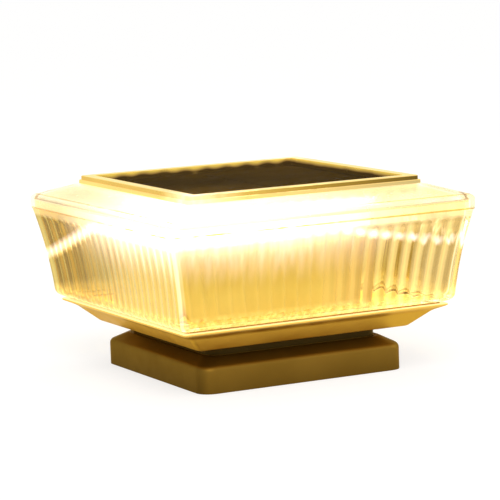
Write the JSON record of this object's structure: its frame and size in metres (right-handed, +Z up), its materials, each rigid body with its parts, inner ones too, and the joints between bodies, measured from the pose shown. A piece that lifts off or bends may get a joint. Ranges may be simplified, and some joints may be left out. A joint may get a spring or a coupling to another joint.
{
  "type": "solar fence light",
  "caption": "Square solar fence light: clear fluted lamp head under a framed solar panel, standing by a square neck on a screw-down base; the head lifts off the base.",
  "frame": {"origin": "centre of the base's underside, on the face that stands on the post", "axes": "+Z up out of the post, front face towards -Y, switch on the front half of the underside"},
  "size_m": [0.18, 0.18, 0.1045],
  "materials": {
    "base_bronze": "satin bronze-gold moulding",
    "foam_black": "closed-cell foam",
    "tray_gold": "satin gold moulding",
    "seal_rubber": "moulded rubber",
    "lens_amber": "clear moulded plastic, warm tint",
    "seal_clear": "translucent silicone",
    "cover_clear": "clear moulded plastic, warm tint",
    "frame_gold": "polished gold",
    "backsheet_black": "laminated sheet",
    "solar_cell": "dark silicon",
    "panel_glass": "clear sheet",
    "foam_white": "closed-cell foam",
    "core_white": "white reflector moulding in warm light",
    "battery_sleeve": "plastic sleeve over a can",
    "holder_black": "moulded",
    "contact_nickel": "nickel-plated spring strip",
    "board_green": "solder-masked laminate",
    "button_grey": "soft cap",
    "screw_steel": "zinc-plated",
    "wire_black": "insulated lead",
    "wire_white": "insulated lead",
    "led_board_white": "white laminate",
    "led_warm": "lit warm LED"
  },
  "bodies": {
    "base": {"base_plinth": "base_bronze", "mount_cup": "base_bronze", "base_pad": "foam_black"},
    "head": {"neck_ring": "base_bronze", "bottom_tray": "tray_gold", "spigot_seal": "seal_rubber", "lower_gasket": "seal_rubber", "fluted_lens": "lens_amber", "upper_gasket": "seal_clear", "top_cover": "cover_clear", "solar_frame": "frame_gold", "panel_tape": "foam_black", "panel_backsheet": "backsheet_black", "solar_cells": "solar_cell", "panel_glass": "panel_glass", "cover_foam": "foam_white", "core_housing": "core_white", "led_carrier": "core_white", "chassis_plate": "core_white", "battery_cell": "battery_sleeve", "battery_holder": "holder_black", "battery_contacts": "contact_nickel", "battery_door": "tray_gold", "control_board": "board_green", "board_parts": "holder_black", "switch_body": "holder_black", "tray_screws": "screw_steel", "cover_screws": "screw_steel", "board_screws": "screw_steel", "door_screws": "screw_steel", "panel_wires": "wire_black", "battery_wires": "wire_black", "led_wires": "wire_white", "led_jumpers": "wire_white", "led_board_front": "led_board_white", "leds_front": "led_warm", "led_board_right": "led_board_white", "leds_right": "led_warm", "led_board_back": "led_board_white", "leds_back": "led_warm", "led_board_left": "led_board_white", "leds_left": "led_warm"},
    "button": {"power_button": "button_grey", "switch_plunger": "core_white"}
  },
  "joints": [
    {"name": "head_lift", "type": "slide", "parent": "base", "child": "head", "axis": [0, 0, 1], "range_m": [0, 0.04]},
    {"name": "button_press", "type": "slide", "parent": "head", "child": "button", "axis": [0, 0, 1], "range_m": [0, 0.0015], "stiffness_N_per_m": 800, "springref_m": -0.001}
  ]
}
